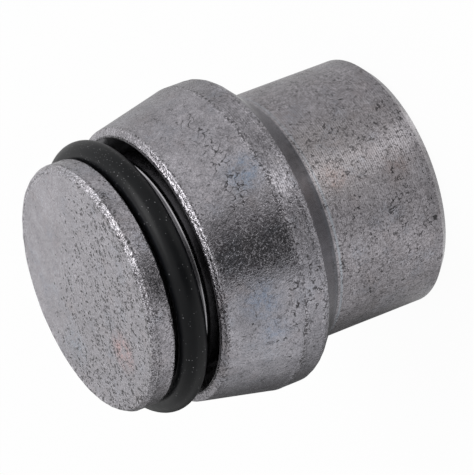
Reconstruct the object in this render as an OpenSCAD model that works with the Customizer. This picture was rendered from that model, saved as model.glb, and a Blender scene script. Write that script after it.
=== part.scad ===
// Blanking plug for a tube fitting with a 24 degree cone
// A turned steel plug carries an O-ring in a groove behind its nose. A union nut slides over the
// shank, pulls on the rear flank of the shoulder and presses the cone into the fitting.
// The axis is Z. The plug stands on its shank end at z = 0 with the nose up. Sizes are in millimetres.

/* [Shank] */
// Diameter of the shank that the union nut slides over
shank_d = 22; // [18:0.5:24]
// Length from the shank's end to the foot of the shoulder
shank_len = 11.4; // [6:0.05:30]
// Chamfer round the shank's end
shank_chamfer = 0.8; // [0.2:0.1:2]

/* [Shoulder] */
// Diameter of the shoulder, the widest part of the plug
shoulder_d = 27.3; // [26:0.1:32]
// Width of the straight band round the shoulder
shoulder_w = 2.2; // [1.2:0.05:5]
// Angle between the rear flank and the axis
flank_angle = 45; // [35:1:60]
// Radius of the edge between the rear flank and the band
shoulder_edge_r = 0.8; // [0.2:0.1:1.2]
// Radius in the foot of the rear flank
foot_r = 0.5; // [0.2:0.1:1.5]

/* [Sealing cone] */
// Included angle of the cone
cone_angle = 24; // [20:1:30]
// Length of the cone between the band and the groove
cone_len = 7.05; // [5:0.05:9]
// Radius of the blend between the band and the cone
cone_blend_r = 1; // [0.2:0.1:3]
// Radius of the edge between the cone and the groove
cone_edge_r = 0.6; // [0.2:0.1:1.2]

/* [O-ring groove] */
// Diameter of the groove's floor
groove_d = 19.2; // [16:0.1:20]
// Width of the groove between its two walls
groove_w = 3.95; // [3:0.05:6]
// Radius in both corners of the groove's floor
groove_corner_r = 0.4; // [0.1:0.05:0.5]

/* [Nose] */
// Diameter of the nose in front of the groove
nose_d = 21.9; // [21:0.1:23]
// Thickness of the nose
nose_w = 2.2; // [1.6:0.05:4]
// Length along the axis of the lead-in chamfer round the nose
nose_chamfer_len = 0.5; // [0.3:0.05:1]
// Depth of the lead-in chamfer, across the axis
nose_chamfer_depth = 0.3; // [0.2:0.05:0.8]
// Radius of both edges of the lead-in chamfer
nose_edge_r = 0.2; // [0.1:0.05:0.3]
// Radius round the nose's rear edge, beside the groove
nose_rear_r = 0.2; // [0.05:0.05:0.3]

/* [O-ring] */
// Thickness of the O-ring's round section
ring_section_d = 2.4; // [1.5:0.1:2.6]
// Gap between the O-ring and the groove's front wall
ring_front_gap = 0.35; // [0.05:0.05:0.4]
// Clearance between the O-ring and the groove's floor
ring_seat_gap = 0.02; // [0.01:0.01:0.1]

/* [Hidden] */
$fn = 160;
steel_grey = [0.52, 0.52, 0.54];
rubber_black = [0.09, 0.10, 0.11];

// Radii of the plug's stretches
shank_r = shank_d / 2;
shoulder_r = shoulder_d / 2;
cone_front_r = shoulder_r - cone_len * tan(cone_angle / 2);
groove_r = groove_d / 2;
nose_r = nose_d / 2;

// Heights of the plug's edges above its shank end
band_rear_z = shank_len + (shoulder_r - shank_r) / tan(flank_angle);
band_front_z = band_rear_z + shoulder_w;
groove_rear_z = band_front_z + cone_len;
groove_front_z = groove_rear_z + groove_w;
plug_len = groove_front_z + nose_w;

// Corners of the turned profile, from the shank's end up to the nose: radius, height, rounding
corners = [
    [0, 0, 0],
    [shank_r - shank_chamfer, 0, 0],
    [shank_r, shank_chamfer, 0],
    [shank_r, shank_len, foot_r],
    [shoulder_r, band_rear_z, shoulder_edge_r],
    [shoulder_r, band_front_z, cone_blend_r],
    [cone_front_r, groove_rear_z, cone_edge_r],
    [groove_r, groove_rear_z, groove_corner_r],
    [groove_r, groove_front_z, groove_corner_r],
    [nose_r, groove_front_z, nose_rear_r],
    [nose_r, plug_len - nose_chamfer_len, nose_edge_r],
    [nose_r - nose_chamfer_depth, plug_len, nose_edge_r],
    [0, plug_len, 0]
];
last_corner = len(corners) - 1;
// Each arc is a hair larger than the tangent one, so that it runs into both of its sides
arc_overlap = 0.0002;
// Part of the radius by which an arc runs on past its sides
arc_run_on = 0.3;

// Centre of the O-ring's section
ring_r = groove_r + ring_seat_gap + ring_section_d / 2;
ring_z = groove_front_z - ring_front_gap - ring_section_d / 2;

function unit(v) = v / norm(v);

// Place and rounding of a corner, and the directions from it to its two neighbours
function place(i) = let (c = corners[(i + len(corners)) % len(corners)]) [c.x, c.y];
function rounding(i) = corners[i].z;
function to_before(i) = unit(place(i - 1) - place(i));
function to_after(i) = unit(place(i + 1) - place(i));
function half_angle(i) = acos(to_before(i) * to_after(i)) / 2;
function is_outside_edge(i) = cross(to_before(i), to_after(i)) < 0;

// Ends and centre of the arc that is tangent to both sides of a corner
function arc_reach(i) = rounding(i) / tan(half_angle(i));
function arc_start(i) = place(i) + to_before(i) * arc_reach(i);
function arc_end(i) = place(i) + to_after(i) * arc_reach(i);
function arc_centre(i) = place(i) + unit(to_before(i) + to_after(i)) * rounding(i) / sin(half_angle(i));

// Half section of the plug with each rounded corner cut straight across
module cut_corner_profile() {
    polygon([
        for (i = [0 : last_corner])
            each rounding(i) == 0 ? [place(i)] : [arc_start(i), arc_end(i)]
    ]);
}

// Sector of a circle that rounds one corner
module corner_sector(i) {
    centre = arc_centre(i);
    run_on = rounding(i) * arc_run_on;
    intersection() {
        polygon([
            centre,
            2 * arc_start(i) - centre + to_before(i) * run_on,
            2 * place(i) - centre,
            2 * arc_end(i) - centre + to_after(i) * run_on
        ]);
        translate(centre) circle(rounding(i) + arc_overlap);
    }
}

// Sectors of all outside edges, or of all inside corners
module corner_sectors(outside) {
    for (i = [0 : last_corner])
        if (rounding(i) > 0 && is_outside_edge(i) == outside)
            corner_sector(i);
}

// Half section of the plug: outside edges filled out to their arcs, inside corners hollowed to theirs
module plug_profile() {
    difference() {
        union() {
            cut_corner_profile();
            corner_sectors(outside = true);
        }
        corner_sectors(outside = false);
    }
}

// Turned steel plug, one solid piece
module plug_body() {
    color(steel_grey)
        rotate_extrude()
            plug_profile();
}

// Black rubber ring, seated on the groove's floor
module o_ring() {
    color(rubber_black)
        translate([0, 0, ring_z])
            rotate_extrude()
                translate([ring_r, 0])
                    circle(d = ring_section_d);
}

plug_body();
o_ring();
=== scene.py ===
import math

import bpy
import numpy as np
from mathutils import Matrix, Vector


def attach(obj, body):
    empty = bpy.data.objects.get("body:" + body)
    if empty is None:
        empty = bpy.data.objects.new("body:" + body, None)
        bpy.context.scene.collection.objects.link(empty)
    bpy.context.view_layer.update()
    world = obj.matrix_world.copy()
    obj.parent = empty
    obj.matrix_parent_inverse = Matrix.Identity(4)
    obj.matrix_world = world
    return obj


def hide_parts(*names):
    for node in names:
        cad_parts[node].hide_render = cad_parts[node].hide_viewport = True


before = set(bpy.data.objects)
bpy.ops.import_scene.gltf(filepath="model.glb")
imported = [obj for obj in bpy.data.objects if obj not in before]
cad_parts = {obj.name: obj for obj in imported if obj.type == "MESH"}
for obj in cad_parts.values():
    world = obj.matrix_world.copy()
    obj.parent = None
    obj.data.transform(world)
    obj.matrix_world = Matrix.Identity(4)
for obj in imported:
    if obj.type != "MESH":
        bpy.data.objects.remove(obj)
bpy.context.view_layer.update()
mm = 0.001


# Camera at the photograph's angle. The plug stands nose up, so the photograph's up is mostly +X.
cameraSpec = dict(
    roll=20.962,               # degrees about the line of sight
    tilt=65.166,               # degrees between the plug's axis and the line of sight
    away=415.47,               # mm from the aim point on the axis to the camera
    aimHeight=29.8,            # mm
    aimPlace=(-0.03131, 0.01096),  # aim point right of and below the picture's middle, per mm of depth
    lens=376.11,               # mm on a 36 mm sensor
)


def buildCamera(spec):
    # The camera's three axes come from tilt and roll; it stands back from the aim point along the third
    roll = math.radians(spec["roll"])
    tilt = math.radians(spec["tilt"])
    right = Vector((-math.sin(roll), -math.cos(tilt) * math.cos(roll), -math.sin(tilt) * math.cos(roll)))
    up = Vector((math.cos(roll), -math.cos(tilt) * math.sin(roll), -math.sin(tilt) * math.sin(roll)))
    back = Vector((0.0, -math.sin(tilt), math.cos(tilt)))
    across, down = spec["aimPlace"]
    aim = Vector((0.0, 0.0, spec["aimHeight"]))
    place = (aim + (back - right * across + up * down) * spec["away"]) * mm
    data = bpy.data.cameras.new("photoCamera")
    data.lens = spec["lens"]
    data.sensor_width = 36.0
    data.sensor_fit = "HORIZONTAL"
    data.clip_start = 0.01
    data.clip_end = 20.0
    camera = bpy.data.objects.new("photoCamera", data)
    bpy.context.scene.collection.objects.link(camera)
    camera.matrix_world = Matrix.Translation(place) @ Matrix((right, up, back)).transposed().to_4x4()
    bpy.context.scene.camera = camera


buildCamera(cameraSpec)
bpy.context.scene.view_settings.view_transform = "Standard"
print("camera set")


class Wire:
    # One socket of a shader tree; arithmetic on it adds Math nodes
    def __init__(self, tree, socket=None):
        self.tree = tree
        self.socket = socket

    def add(self, kind, settings, values, out=0):
        # Any node: its type, its settings first, then its sockets' values or links
        node = self.tree.nodes.new(kind)
        for name, setting in settings.items():
            setattr(node, name, setting)
        for key, value in values.items():
            if isinstance(value, Wire):
                self.tree.links.new(value.socket, node.inputs[key])
            else:
                node.inputs[key].default_value = value
        return None if out is None else Wire(self.tree, node.outputs[out])

    def other(self, out):
        # Another output of the same node
        return Wire(self.tree, self.socket.node.outputs[out])

    def math(self, operation, *others):
        return self.add("ShaderNodeMath", {"operation": operation}, dict(enumerate((self, *others))))

    def __add__(self, other):
        return self.math("ADD", other)

    __radd__ = __add__

    def __mul__(self, other):
        return self.math("MULTIPLY", other)

    __rmul__ = __mul__

    def __sub__(self, other):
        return self.math("SUBTRACT", other)

    def __rsub__(self, other):
        return self.add("ShaderNodeMath", {"operation": "SUBTRACT"}, {0: other, 1: self})

    def __truediv__(self, other):
        return self.math("DIVIDE", other)

    def most(self, other):
        return self.math("MAXIMUM", other)

    def rise(self, low, high):
        # 0 below low, 1 above high, smooth between
        return self.add("ShaderNodeMapRange", {"interpolation_type": "SMOOTHSTEP"},
                        {0: self, 1: low, 2: high, 3: 0.0, 4: 1.0})

    def hill(self, low, high, soft):
        # 1 between low and high, fading over soft at both ends
        return self.rise(low - soft, low + soft) * (1.0 - self.rise(high - soft, high + soft))

    def parts(self):
        x = self.add("ShaderNodeSeparateXYZ", {}, {0: self})
        return x, x.other(1), x.other(2)

    def toward(self, colour, share):
        # This colour mixed toward another by share
        return self.add("ShaderNodeMix", {"data_type": "RGBA"}, {0: share, 6: self, 7: colour}, 2)

    def times(self, factor):
        return self.add("ShaderNodeVectorMath", {"operation": "SCALE"}, {0: self, "Scale": factor})

    def plus(self, vector):
        return self.add("ShaderNodeVectorMath", {"operation": "ADD"}, {0: self, 1: vector})

    def away(self, vector):
        # Distance to a point
        return self.add("ShaderNodeVectorMath", {"operation": "DISTANCE"}, {0: self, 1: vector}, 1)

    def noise(self, scale, detail=2.0, rough=0.5, out=0):
        return self.add("ShaderNodeTexNoise", {"noise_dimensions": "3D"},
                        {"Vector": self, "Scale": scale, "Detail": detail, "Roughness": rough}, out)

    def cells(self, scale):
        # Distance to the nearest cell point, and that cell's own random number
        gap = self.add("ShaderNodeTexVoronoi", {"voronoi_dimensions": "3D", "feature": "F1"},
                       {"Vector": self, "Scale": scale}, "Distance")
        return gap, gap.other("Color").parts()[0]

    def specks(self, scale, size, share):
        # Round spots in a share of the cells, size in parts of a cell
        gap, chance = self.cells(scale)
        return (1.0 - gap.rise(size * 0.55, size)) * (share - chance).rise(0.0, 0.04)


def newMaterial(name):
    material = bpy.data.materials.new(name)
    material.use_nodes = True
    material.node_tree.nodes.clear()
    return material, Wire(material.node_tree)


def objectPlace(start):
    # Object coordinates in mm
    return start.add("ShaderNodeTexCoord", {}, {}, "Object").times(1000.0)


def attribute(start, name):
    return start.add("ShaderNodeAttribute", {"attribute_name": name}, {}, "Fac")


def roughSurface(start, base, roughness, height, fixed):
    # The surface shader: colour, roughness and a bump whose height is in thousandths of a mm
    bump = start.add("ShaderNodeBump", {}, {"Strength": 1.0, "Distance": 1e-6, "Height": height})
    shader = start.add("ShaderNodeBsdfPrincipled", {},
                       {"Base Color": base, "Roughness": roughness, "Normal": bump, **fixed})
    start.add("ShaderNodeOutputMaterial", {}, {"Surface": shader}, None)


def putMesh(name, points, faces, material):
    # A smooth mesh object from points in mm and a list of faces
    mesh = bpy.data.meshes.new(name)
    mesh.from_pydata((points * mm).tolist(), [], faces)
    mesh.shade_smooth()
    mesh.materials.append(material)
    mesh.update()
    piece = bpy.data.objects.new(name, mesh)
    bpy.context.scene.collection.objects.link(piece)
    return piece


def putAttribute(piece, name, values):
    layer = piece.data.attributes.new(name, "FLOAT", "POINT")
    layer.data.foreach_set("value", np.asarray(values, np.float32).ravel())


def gridFaces(rows, columns, closeRows, closeColumns):
    # Quads between neighbouring stations of a grid, joined round where a direction closes
    i = np.arange(rows if closeRows else rows - 1)[:, None]
    j = np.arange(columns if closeColumns else columns - 1)[None, :]
    iNext = (i + 1) % rows
    jNext = (j + 1) % columns
    quads = np.stack(np.broadcast_arrays(i * columns + j, i * columns + jNext,
                                         iNext * columns + jNext, iNext * columns + j), -1)
    return quads.reshape(-1, 4).tolist()


# Turned steel plug: corners of the profile from the shank's end to the nose (radius, height, rounding)
plugSpec = dict(
    corners=[
        (0.0, 0.0, 0.0), (10.2, 0.0, 0.0), (11.0, 0.8, 0.0),          # shank's end and its chamfer
        (11.0, 11.4, 0.5), (13.65, 14.05, 0.8), (13.65, 16.25, 1.0),   # foot, rear flank and band
        (12.2152, 23.0, 0.25), (11.7, 23.34, 0.2),                     # bevel at the cone's front edge
        (9.6, 23.34, 0.25), (9.6, 27.25, 0.4),                         # groove's floor
        (10.95, 27.25, 0.2), (10.95, 28.95, 0.2), (10.65, 29.45, 0.2),  # nose and its lead-in chamfer
        (0.0, 29.45, 0.0)],
    straightStep=0.34,         # mm between stations on straight stretches
    arcStep=8.0,               # degrees between stations on roundings
    aroundSteps=360,
    edgeReach=0.16,            # mm over which a rounded edge's marks fade out beside it
    edgeRelief=0.022,          # mm, unevenness of rounded edges
    edgeCells=(0.7, 110),      # its lattice: mm along the profile, cells round the axis
    skinRelief=0.004,          # mm, unevenness everywhere else
    skinCells=(2.6, 24),
    calmRadius=6.0,            # mm, inside which the skin's unevenness fades toward the axis
    sharpAngle=32.0,           # degrees, past which two faces meet in a hard edge
    seed=11,
)


def turnedProfile(corners, straightStep, arcStep):
    # Walks the corners: a rounded corner becomes the arc tangent to both its sides, and a straight stretch
    # is cut into even steps. Gives each station's radius, height and edge weight, which is +1 on outside
    # roundings and -1 on inside ones.
    spots = np.array([corner[:2] for corner in corners])
    pieces = []
    for k, spot in enumerate(spots):
        rounding = corners[k][2]
        if rounding == 0.0:
            pieces.append((spot[None, :], 0.0))
            continue
        before = (spots[k - 1] - spot) / np.linalg.norm(spots[k - 1] - spot)
        after = (spots[k + 1] - spot) / np.linalg.norm(spots[k + 1] - spot)
        half = math.acos(before @ after) / 2
        middle = spot + (before + after) / np.linalg.norm(before + after) * rounding / math.sin(half)
        first = spot + before * rounding / math.tan(half) - middle
        last = spot + after * rounding / math.tan(half) - middle
        start = math.atan2(first[1], first[0])
        sweep = (math.atan2(last[1], last[0]) - start + math.pi) % (2 * math.pi) - math.pi
        steps = max(3, math.ceil(abs(math.degrees(sweep)) / arcStep))
        turn = start + sweep * np.linspace(0.0, 1.0, steps + 1)
        arc = middle + rounding * np.stack([np.cos(turn), np.sin(turn)], 1)
        pieces.append((arc, math.copysign(1.0, sweep)))
    stations = [pieces[0][0]]
    weights = [np.zeros(1)]
    for (run, _), (arc, weight) in zip(pieces[:-1], pieces[1:]):
        span = np.linalg.norm(arc[0] - run[-1])
        inner = np.linspace(0.0, 1.0, max(2, math.ceil(span / straightStep)) + 1)[1:-1, None]
        stations += [run[-1] + (arc[0] - run[-1]) * inner, arc]
        weights += [np.zeros(len(inner)), np.full(len(arc), weight)]
    stations = np.concatenate(stations)
    return stations[:, 0], stations[:, 1], np.concatenate(weights)


def latticeNoise(along, around, cellsAround, seed):
    # Smooth noise from -1 to 1: random values on a lattice closed round the axis, blended by smoothstep.
    # along is in lattice cells, around in turns.
    table = np.random.default_rng(seed).uniform(-1.0, 1.0, (int(along.max()) + 3, cellsAround))
    u = along[:, None] + 0.0 * around[None, :]
    v = (around[None, :] + 0.0 * along[:, None]) * cellsAround
    u0 = np.floor(u).astype(int)
    v0 = np.floor(v).astype(int)
    fu = (u - u0) ** 2 * (3 - 2 * (u - u0))
    fv = (v - v0) ** 2 * (3 - 2 * (v - v0))
    a = v0 % cellsAround
    b = (v0 + 1) % cellsAround
    low = table[u0, a] * (1 - fv) + table[u0, b] * fv
    high = table[u0 + 1, a] * (1 - fv) + table[u0 + 1, b] * fv
    return low * (1 - fu) + high * fu


def buildPlug(spec, material):
    # The profile carried round the axis: station i at turn t is (r sin t, -r cos t, z), moved along the
    # profile's normal by the relief. The two ends close on a pole each.
    r, z, weight = turnedProfile(spec["corners"], spec["straightStep"], spec["arcStep"])
    run = np.concatenate([[0.0], np.cumsum(np.hypot(np.diff(r), np.diff(z)))])
    near = np.exp(-((run[:, None] - run[None, :]) / spec["edgeReach"]) ** 2)
    edge = np.clip((near * np.clip(weight, 0, 1)).sum(1) / near.sum(1), 0, 1)
    turns = np.arange(spec["aroundSteps"]) / spec["aroundSteps"]
    slopeR = np.gradient(r, run)
    slopeZ = np.gradient(z, run)
    size = np.hypot(slopeR, slopeZ)
    fade = np.clip(r / spec["calmRadius"], 0, 1)
    edgeStep, edgeAround = spec["edgeCells"]
    skinStep, skinAround = spec["skinCells"]
    edgeNoise = latticeNoise(run / edgeStep, turns, edgeAround, spec["seed"])
    skinNoise = latticeNoise(run / skinStep, turns, skinAround, spec["seed"] + 1)
    relief = edgeNoise * (edge * spec["edgeRelief"])[:, None]
    relief = relief + skinNoise * (fade * spec["skinRelief"])[:, None]
    rr = r[:, None] + relief * (slopeZ / size)[:, None]
    zz = z[:, None] - relief * (slopeR / size)[:, None]
    zz = np.clip(zz, 0.0, z.max())
    angle = 2 * math.pi * turns[None, :]
    points = np.stack([rr * np.sin(angle), -rr * np.cos(angle), zz], -1)[1:-1]
    rows, columns = points.shape[:2]
    faces = gridFaces(rows, columns, False, True)
    j = np.arange(columns)
    jNext = (j + 1) % columns
    top = (rows - 1) * columns
    faces += np.stack([np.full(columns, rows * columns), jNext, j], 1).tolist()
    faces += np.stack([top + j, top + jNext, np.full(columns, rows * columns + 1)], 1).tolist()
    poles = np.array([[0.0, 0.0, z[0]], [0.0, 0.0, z[-1]]])
    piece = putMesh("plugTurned", np.concatenate([points.reshape(-1, 3), poles]), faces, material)
    putAttribute(piece, "edge", np.concatenate([np.repeat(edge[1:-1], columns), [0.0, 0.0]]))
    putAttribute(piece, "run", np.concatenate([np.repeat(run[1:-1], columns), [0.0, run[-1]]]))
    piece.data.set_sharp_from_angle(angle=math.radians(spec["sharpAngle"]))
    return piece


# The steel's zones along the axis (from, to, softness of both ends, in mm), its colours and its tinted places
steelSpec = dict(
    faceRise=(29.36, 29.44),
    leadIn=(28.97, 29.40, 0.05),
    groove=(23.22, 27.27, 0.10),
    rearWall=(23.14, 23.42, 0.05),
    cone=(16.4, 22.8, 0.2),
    band=(14.4, 16.15, 0.15),
    flank=(11.34, 13.80, 0.12),
    shankRise=(11.1, 11.6),
    chain=(18.1, 19.9, 0.25),      # cracks on the cone
    knots=(14.4, 17.6, 0.4),       # cracks beside the band
    highlightTurn=(-0.05, 0.60, 0.15),  # the shank's stretch with a painted highlight, in radians from -Y toward +X
    dark=(0.125, 0.120, 0.130, 1),
    light=(0.640, 0.616, 0.660, 1),
    stain=(0.040, 0.038, 0.040, 1),  # pits, specks, cracks and squiggles
    shadow=(0.145, 0.145, 0.158, 1),  # painted shade on the rear flank
    wall=(0.06, 0.06, 0.065, 1),   # painted shade on the groove's rear wall
    tints=[                        # spot in mm, reach in mm, share, colour
        ((-5.9, -2.8, 29.45), 2.4, 0.85, (0.58, 0.37, 0.36, 1)),  # face, warm
        ((-4.1, 6.1, 29.45), 2.6, 0.50, (0.30, 0.36, 0.43, 1)),   # face, cool
        ((4.5, -12.5, 17.8), 2.4, 0.75, (0.25, 0.32, 0.43, 1)),   # cone, cool
        ((-6.0, -11.4, 19.9), 2.6, 0.70, (0.26, 0.32, 0.43, 1)),  # cone, cool
        ((-8.6, -9.6, 19.0), 2.0, 0.60, (0.27, 0.33, 0.44, 1)),   # cone, cool
        ((1.4, -10.9, 9.4), 1.8, 0.60, (0.50, 0.37, 0.33, 1)),    # shank, warm
        ((0.6, -11.0, 3.6), 2.0, 0.55, (0.27, 0.20, 0.18, 1))],   # shank, rust
)


def turnedSteel(spec):
    # Satin turned steel: clouded grey, fine grain, dark pits that crowd on one side, turning marks and
    # speckled edges. Every mask runs from 0 to 1.
    material, start = newMaterial("turnedSteel")
    place = objectPlace(start)
    x, y, z = place.parts()
    r = (x * x + y * y).math("SQRT")
    turn = x.math("ARCTAN2", y * -1.0)  # 0 at -Y, growing toward +X
    edge = attribute(start, "edge")
    run = attribute(start, "run")
    face = z.rise(*spec["faceRise"])
    leadIn = z.hill(*spec["leadIn"])
    band = z.hill(*spec["band"])
    groove = z.hill(*spec["groove"]) * (1.0 - r.rise(10.7, 11.3))
    rearWall = z.hill(*spec["rearWall"]) * (1.0 - r.rise(11.40, 11.60))
    flank = z.hill(*spec["flank"]) * r.rise(11.01, 11.08)
    shank = 1.0 - z.rise(*spec["shankRise"])
    cone = z.hill(*spec["cone"])
    highlightStreak = shank * turn.hill(*spec["highlightTurn"])
    worn = 1.0 - groove.most(flank).most(rearWall)

    # noises from broad to fine; warp bends the places that the marks are drawn at
    centred = (-0.5, -0.5, -0.5)
    cloud = place.noise(0.30, 3.0, 0.6)
    patch = place.noise(1.1, 3.0, 0.55)
    grain = place.noise(4.6, 2.0, 0.5)
    fine = place.noise(9.0, 1.0, 0.5)
    grainTone = grain.rise(0.32, 0.68) - 0.5
    fineTone = fine.rise(0.32, 0.68) - 0.5
    warp = place.plus(place.noise(2.6, 1.0, 0.5, 1).plus(centred).times(0.4))

    # pits and ragged specks crowd toward -Y and -X
    lean = (x * -0.78 + y * -0.62) / 11.0
    crowd = lean.rise(-0.6, 0.35) * (0.22 + patch.rise(0.45, 0.56) * 0.78)
    ragged = warp.plus(place.noise(8.0, 1.0, 0.5, 1).plus(centred).times(0.2))
    pits = ragged.specks(1.9, 0.34, 0.01 + crowd * (0.02 + face * 1.1))
    pits = pits.most(ragged.specks(3.2, 0.46, 0.01 + crowd * (0.05 + face * 1.1))) * worn
    blot = warp.noise(5.0, 2.0, 0.6)
    limit = 0.668 - crowd * ((1.0 - cone * 0.6) * 0.075 + edge * 0.02) - edge * 0.012
    specks = (blot - limit).rise(0.0, 0.04) * worn

    # fine curled cracks: a chain on the cone's upper half, knots beside the band's lower half
    curl = (warp.noise(1.5, 1.0, 0.4) - 0.5).math("ABSOLUTE")
    chain = turn.hill(0.02, 0.95, 0.08) * z.hill(*spec["chain"]) * patch.rise(0.41, 0.48)
    knots = turn.hill(-0.85, -0.25, 0.12) * z.hill(*spec["knots"]) * patch.rise(0.50, 0.56)
    cracks = (1.0 - curl.rise(0.010, 0.042)) * chain.most(knots) * worn

    # short thin squiggles all over the skin, few on the face; dense is where they gather
    thin = (ragged.noise(1.5, 1.0, 0.5) - 0.5).math("ABSOLUTE")
    dense = place.plus((11.0, 23.0, 5.0)).noise(0.55, 2.0, 0.5).rise(0.50, 0.60)
    dense = dense.most(highlightStreak * 0.4)
    broken = (place.noise(2.2, 1.0, 0.5) + dense * 0.05).rise(0.50, 0.57) * (0.5 + dense * 0.5)
    squiggles = (1.0 - thin.rise(0.010, 0.042)) * broken * (1.0 - face * 0.6 - cone * 0.4) * worn

    # broken dark lines, and bright lines of painted highlight, where one surface meets the next
    seams = z.hill(16.14, 16.34, 0.05)                                        # band and cone
    seams = seams.most(z.hill(22.80, 22.96, 0.05))                            # cone and groove
    seams = seams.most(z.hill(28.84, 28.96, 0.04))                            # nose and lead-in
    seams = seams.most(z.hill(27.29, 27.45, 0.05) * r.rise(10.7, 10.85))      # nose and groove
    seams = seams.most(z.hill(0.84, 1.0, 0.05) * 0.5)                         # shank and chamfer
    seams = seams.most(face * r.hill(10.30, 10.48, 0.05))                     # face and lead-in
    dash = warp.noise(5.5, 1.0, 0.5).rise(0.50, 0.56)

    # turning marks follow the profile, wide rings in the middle of the face
    lined = (shank + band * 0.5) * (0.25 + turn.hill(0.05, 0.9, 0.15) * 0.5)
    lined = lined * (0.2 + cloud.rise(0.42, 0.58) * 0.8)
    marks = (run * 32.0 + cloud * 5.0).math("SINE") * lined
    worms = warp.noise(2.4, 3.0, 0.65).rise(0.40, 0.62) - 0.5
    rings = (r * 13.0 + cloud * 6.0).math("SINE") * face * (1.0 - r.rise(3.0, 6.0))

    # tone mixes the dark and the light steel
    calm = 1.0 - face * 0.55 - cone * 0.45
    tone = 0.5 + ((cloud - 0.5) * 0.7 + (patch - 0.5) * 0.5) * (1.0 - face * 0.5)
    tone = tone + grainTone * (calm * 0.24 + edge * 0.2)
    tone = tone + fineTone * (calm * 0.30 + shank * 0.22 + cone * 0.10 + edge * 0.16 + leadIn * 0.5)
    tone = tone + worms * (shank * 0.20 + band * 0.14 + cone * 0.10)
    # x * 0.004 paints the +X side lighter: painted light
    tone = tone + marks * 0.40 + rings * 0.05 + x * 0.004
    base = start.add("ShaderNodeMix", {"data_type": "RGBA"},
                     {0: tone, 6: spec["dark"], 7: spec["light"]}, 2)
    base = base.toward((0.40, 0.365, 0.375, 1), shank * 0.25)
    # painted highlight: the shank's streak paler and warmer
    base = base.toward((0.47, 0.43, 0.41, 1), highlightStreak * (0.12 + z.rise(4.0, 9.0) * 0.18))

    # heat and oil tints
    cool = z.hill(13.9, 22.9, 0.3) * (1.0 - turn.rise(-0.35, -0.05))
    blue = place.noise(0.45, 2.0, 0.5).rise(0.52, 0.72) * grain.rise(0.35, 0.6)
    pink = place.plus((40.0, 7.0, 3.0)).noise(0.55, 2.0, 0.5).rise(0.54, 0.74) * fine.rise(0.35, 0.6)
    base = base.toward((0.38, 0.39, 0.44, 1), cool * 0.22)
    base = base.toward((0.32, 0.36, 0.43, 1), blue * 0.26 * worn)
    base = base.toward((0.43, 0.36, 0.35, 1), pink * 0.26 * worn)
    for spot, reach, share, colour in spec["tints"]:
        close = 1.0 - place.away(spot).rise(reach * 0.2, reach)
        speckled = (0.15 + patch.rise(0.35, 0.6) * 0.85) * (0.4 + grain.rise(0.35, 0.65) * 0.6)
        base = base.toward(colour, close * share * speckled * worn)

    # painted highlights: the shank's end and the lead-in paler, more toward +X, the neck line paler and
    # bluish, more toward -X; the stretch beside the shank's end darker
    rimHighlight = (1.0 - z.rise(0.55, 0.85)) * (0.08 + turn.rise(0.0, 0.6) * 0.3)
    # neck line: painted highlight, bluish
    neckHighlight = z.hill(10.92, 11.14, 0.06) * (0.60 - turn.rise(-0.2, 0.4) * 0.3)
    base = base.toward((0.56, 0.54, 0.57, 1), rimHighlight)
    base = base.toward((0.50, 0.55, 0.61, 1), neckHighlight)
    # the lead-in painted paler, more toward +X: painted highlight
    base = base.toward((0.93, 0.91, 0.95, 1), leadIn * (0.05 + turn.rise(-0.15, 0.2) * 0.10))
    base = base.toward((0.20, 0.195, 0.21, 1), z.hill(0.9, 1.7, 0.25) * 0.3)

    # groove and rear flank, which nothing rubs: the groove is paler, the groove's rear wall and the rear
    # flank darker, which is painted shade
    base = base.toward((0.62, 0.61, 0.635, 1), groove * 0.7)
    # the groove's rear wall darkened: painted shade in the recess
    base = base.toward(spec["wall"], rearWall * 0.9)
    low = 1.0 - turn.rise(-0.8, -0.35)
    shaded = flank * (0.90 - r.rise(11.2, 13.6) * (0.14 + low * 0.2)) * (1.0 - turn.rise(0.55, 0.95) * 0.6)
    base = base.toward(spec["shadow"], shaded)
    base = base.toward((0.27, 0.27, 0.29, 1), flank * patch.rise(0.50, 0.66) * 0.5)

    # the seams' pale lines are painted highlight along the edges; their dark dashes, in the stain below, are
    # dark joints
    base = base.toward((0.62, 0.60, 0.64, 1), seams * (1.0 - dash) * 0.35)
    stain = (specks * (0.72 + edge * 0.15 + face * 0.15)).most(pits * 0.88).most(cracks * 0.9)
    stain = stain.most(seams * dash * 0.7).most(squiggles * 0.9)
    base = base.toward(spec["stain"], stain)
    roughness = 0.22 + grainTone * 0.08 + pits * 0.2 + leadIn * 0.02 - flank * 0.03 - rearWall * 0.07
    height = grain * (24.0 + edge * 40.0 + leadIn * 30.0 + highlightStreak * 8.0)
    height = (height + fine * (16.0 + edge * 22.0 + leadIn * 25.0)) * worn
    height = height - blot.rise(0.5, 0.68) * worn * 9.0 + marks * 2.0
    height = height - pits * 22.0 - specks * 12.0 - cracks * 22.0 - seams * dash * 10.0 - squiggles * 10.0
    roughSurface(start, base, roughness, height, {"Metallic": 1.0})
    return material


plug = buildPlug(plugSpec, turnedSteel(steelSpec))
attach(plug, "root")
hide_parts("plug_body")
print("plug built:", len(plug.data.polygons), "faces")


# Rubber O-ring in the groove. It lies a little askew and hangs toward -X.
ringSpec = dict(
    radius=10.82,              # mm, centre of the section
    section=1.2,               # mm, half the thickness
    height=25.7,               # mm
    sway=(-0.012, -0.10, -0.01),  # mm toward the shank: with cos, with sin, everywhere
    hang=0.09,                 # mm that its centre lies toward -X, with the ring as much wider
    aroundSteps=320,
    sectionSteps=40,
    black=(0.0020, 0.0024, 0.0031, 1),
    worn=(0.0052, 0.0058, 0.0070, 1),
    dust=(0.26, 0.26, 0.27, 1),
    sheen=0.2,                 # specular level
)


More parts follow.
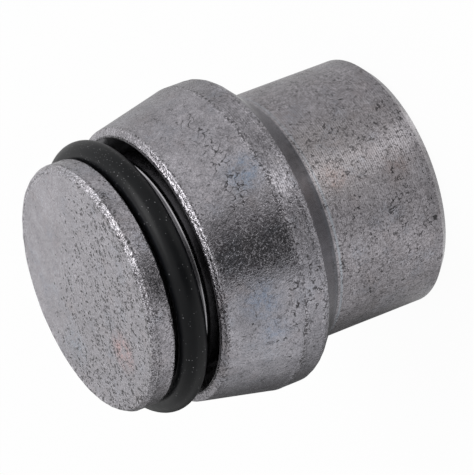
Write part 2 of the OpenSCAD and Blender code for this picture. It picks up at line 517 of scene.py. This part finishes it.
def buildRing(spec, material):
    # A round section carried round the axis; its centre's height and radius sway a little with the turn
    t = np.arange(spec["aroundSteps"])[:, None] * 2 * math.pi / spec["aroundSteps"]
    # q runs backwards, so that the faces point outwards
    q = -np.arange(spec["sectionSteps"])[None, :] * 2 * math.pi / spec["sectionSteps"]
    withCos, withSin, everywhere = spec["sway"]
    sway = withCos * np.cos(t) + withSin * np.sin(t) + everywhere
    radius = spec["radius"] + spec["hang"] * (1.0 - np.sin(t)) + spec["section"] * np.cos(q)
    height = spec["height"] - sway + spec["section"] * np.sin(q)
    points = np.stack([radius * np.sin(t), -radius * np.cos(t), height], -1)
    faces = gridFaces(spec["aroundSteps"], spec["sectionSteps"], True, True)
    return putMesh("rubberRing", points.reshape(-1, 3), faces, material)


def blackRubber(spec):
    # Smooth black rubber: soft sheen, faint mottling, pale dust specks
    material, start = newMaterial("blackRubber")
    place = objectPlace(start)
    mottle = place.noise(0.9, 3.0, 0.6)
    fine = place.noise(9.0, 2.0, 0.5)
    thick = (place.parts()[0] / 11.0).rise(0.35, 0.95)  # dustier toward +X
    dust = place.specks(2.8, 0.16, place.noise(0.5, 2.0, 0.5).rise(0.42, 0.62) * 0.8)
    dust = dust.most(place.specks(5.5, 0.24, 0.08 + thick * 0.5) * 0.55)
    base = start.add("ShaderNodeMix", {"data_type": "RGBA"},
                     {0: mottle, 6: spec["black"], 7: spec["worn"]}, 2)
    base = base.toward(spec["dust"], dust * 0.8)
    roughness = 0.36 + (mottle - 0.5) * 0.16 + (fine - 0.5) * 0.10
    height = fine * 2.0 + mottle * 5.0 + dust * 6.0
    roughSurface(start, base, roughness, height, {"Metallic": 0.0, "Specular IOR Level": spec["sheen"]})
    return material


ring = buildRing(ringSpec, blackRubber(ringSpec))
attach(ring, "root")
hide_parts("o_ring")
print("ring built:", len(ring.data.polygons), "faces")


# Floor, light and the studio cards that the metal mirrors
stageSpec = dict(
    floorSize=1600.0,          # mm
    whiteShare=0.96,           # part of the floor's look that is plain white, the rest keeps the shadow
    mirroredShare=0.15,        # the same for mirrored rays
    lamps=[                    # direction, mm away, mm wide, mm high, brightness of the lamp's face
        ((0.46, -0.23, 0.86), 360.0, 230.0, 250.0, 3.2),
        ((0.08, 0.69, 0.72), 360.0, 150.0, 80.0, 1.4)],
    lampAim=15.0,              # mm above the floor
    darkCard=(-32.0, 22.0, 44.0, 50.0),  # mm: from x, to x, height, distance toward -Y
    darkGreys=(0.06, 0.7),     # of the dark card, from its -X end to its +X end
    mirrorReach=420.0,         # mm round the axis that the mirrored floor covers
    skyGreys=(0.82, 0.51),     # of the surround that lights the plug, and its dimmer sides
)


def greyColour(level):
    return (level, level, level, 1)


def paleFloor(spec):
    # Matt pale floor; the camera sees it mostly as plain white, mirrored rays see more of its shadow
    material, start = newMaterial("paleFloor")
    cloth = objectPlace(start).noise(0.05, 2.0, 0.5)
    tint = start.add("ShaderNodeMix", {"data_type": "RGBA"},
                     {0: cloth, 6: (0.70, 0.70, 0.70, 1), 7: (0.73, 0.73, 0.73, 1)}, 2)
    seen = start.add("ShaderNodeLightPath", {}, {}, "Is Camera Ray")
    mirrored = seen.other("Is Glossy Ray").most(seen.other("Is Transmission Ray"))
    share = (seen * spec["whiteShare"]).most(mirrored * spec["mirroredShare"])
    matte = start.add("ShaderNodeBsdfDiffuse", {}, {"Color": tint})
    white = start.add("ShaderNodeEmission", {}, {"Color": (1, 1, 1, 1), "Strength": 1.0})
    mixed = start.add("ShaderNodeMixShader", {}, {0: share, 1: matte, 2: white})
    start.add("ShaderNodeOutputMaterial", {}, {"Surface": mixed}, None)
    return material


def darkCard(spec):
    # Dark card that shines paler toward +X
    material, start = newMaterial("darkCard")
    paler = objectPlace(start).parts()[0].rise(-5.0, 26.0)
    low, high = map(greyColour, spec["darkGreys"])
    grey = start.add("ShaderNodeMix", {"data_type": "RGBA"}, {0: paler, 6: low, 7: high}, 2)
    glow = start.add("ShaderNodeEmission", {}, {"Color": grey, "Strength": 1.0})
    start.add("ShaderNodeOutputMaterial", {}, {"Surface": glow}, None)
    return material


def putSheet(name, points, material):
    # A grid of points (rows, columns, 3) as one sheet
    rows, columns = points.shape[:2]
    sheet = putMesh(name, points.reshape(-1, 3), gridFaces(rows, columns, False, False), material)
    return sheet


def sector(fromTurn, toTurn, fromAway, toAway, height):
    # Part of a flat ring round the axis: turn in degrees from -Y toward +X, distance in mm
    turn, away = np.meshgrid(np.radians(np.linspace(fromTurn, toTurn, 13)), np.linspace(fromAway, toAway, 9))
    return np.stack([away * np.sin(turn), -away * np.cos(turn), 0.0 * turn + height], -1)


def mirrorOnly(card):
    card.visible_camera = False
    card.visible_diffuse = False
    card.visible_transmission = False
    card.visible_volume_scatter = False
    card.visible_shadow = False


def mirroredFloor():
    # What the metal mirrors on the floor: plain grey, paler far out, one bright stripe, dark toward the back.
    # near is what the shank mirrors, bandRing the band and landRing the nose's outside.
    material, start = newMaterial("mirrorCard")
    x, y, _ = objectPlace(start).parts()
    away = (x * x + y * y).math("SQRT")
    turn = x.math("ARCTAN2", y * -1.0) * (180.0 / math.pi)  # degrees from -Y toward +X
    past = y.math("ARCTAN2", x * -1.0) - away / (away + 100.0) * 1.05  # radians from -X toward +Y
    near = 1.0 - away.rise(48.0, 130.0)
    bandRing = away.hill(38.0, 56.0, 6.0)
    landRing = away.hill(58.0, 88.0, 8.0)
    # painted shadow of the plug: the mirrored floor is darker near the plug (near) and dark toward the back
    # (dim); the bright patches near the plug are painted pools of light
    level = 0.77 - near * 0.23 - turn.hill(45.0, 160.0, 15.0) * ((1.0 - near) * 0.10 + bandRing * 0.06)
    level = level + landRing * turn.hill(30.0, 95.0, 12.0) * 0.10
    level = level + turn.hill(-110.0, -48.0, 12.0) * (landRing * 0.05 + bandRing * 0.06)
    level = level + near * turn.hill(-62.0, -34.0, 12.0) * 0.22
    level = level + away.rise(50.0, 75.0) * turn.hill(-105.0, -40.0, 14.0) * 0.12
    level = level + near * turn.hill(10.0, 26.0, 7.0) * (0.42 + away.rise(28.0, 42.0) * 0.6)
    dim = past.rise(-0.35, 0.5) * (1.0 - x.rise(-4.0, 4.0))
    level = level * (1.0 - dim * 0.82)
    grey = start.add("ShaderNodeCombineColor", {}, {0: level, 1: level, 2: level})
    glow = start.add("ShaderNodeEmission", {}, {"Color": grey, "Strength": 1.0})
    start.add("ShaderNodeOutputMaterial", {}, {"Surface": glow}, None)
    return material


def buildStage(spec):
    half = spec["floorSize"] / 2
    u, v = np.meshgrid(np.linspace(-half, half, 9), np.linspace(-half, half, 9))
    putSheet("paleFloor", np.stack([u, v, 0.0 * u - 0.02], -1), paleFloor(spec))
    # dark card standing on the floor in front of the cone, softer at its +X side
    fromX, toX, high, away = spec["darkCard"]
    u, v = np.meshgrid(np.linspace(fromX, toX, 9), np.linspace(0.0, high, 5))
    mirrorOnly(putSheet("darkCard", np.stack([u, 0.0 * u - away, v], -1), darkCard(spec)))
    wholeTurn = sector(-180.0, 180.0, 0.5, spec["mirrorReach"], 0.04)
    mirrorOnly(putSheet("mirrorCard", wholeTurn, mirroredFloor()))

    world = bpy.data.worlds.new("studio")
    bpy.context.scene.world = world
    world.use_nodes = True
    world.node_tree.nodes.clear()
    start = Wire(world.node_tree)
    seen = start.add("ShaderNodeLightPath", {}, {}, "Is Camera Ray")
    x, y, _ = start.add("ShaderNodeTexCoord", {}, {}, "Generated").parts()
    side = (x * -1.0).rise(0.0, 0.7) * 0.9 + y.rise(0.3, 0.9) * 0.22  # dimmer toward -X and +Y
    bright, dim = map(greyColour, spec["skyGreys"])
    grey = start.add("ShaderNodeMix", {"data_type": "RGBA"}, {0: side, 6: bright, 7: dim}, 2)
    soft = start.add("ShaderNodeBackground", {}, {"Color": grey, "Strength": 1.0})
    white = start.add("ShaderNodeBackground", {}, {"Color": (1, 1, 1, 1), "Strength": 1.0})
    mixed = start.add("ShaderNodeMixShader", {}, {0: seen, 1: soft, 2: white})
    start.add("ShaderNodeOutputWorld", {}, {"Surface": mixed}, None)

    for k, (toward, away, wide, high, level) in enumerate(spec["lamps"]):
        lamp = bpy.data.lights.new(f"softLamp{k}", "AREA")
        lamp.shape = "RECTANGLE"
        lamp.size = wide * mm
        lamp.size_y = high * mm
        lamp.energy = level * math.pi * lamp.size * lamp.size_y
        holder = bpy.data.objects.new(f"softLamp{k}", lamp)
        bpy.context.scene.collection.objects.link(holder)
        back = Vector(toward).normalized()
        holder.location = (Vector((0.0, 0.0, spec["lampAim"])) + back * away) * mm
        holder.rotation_mode = "QUATERNION"
        holder.rotation_quaternion = (-back).to_track_quat("-Z", "Y")


buildStage(stageSpec)
print("stage set")
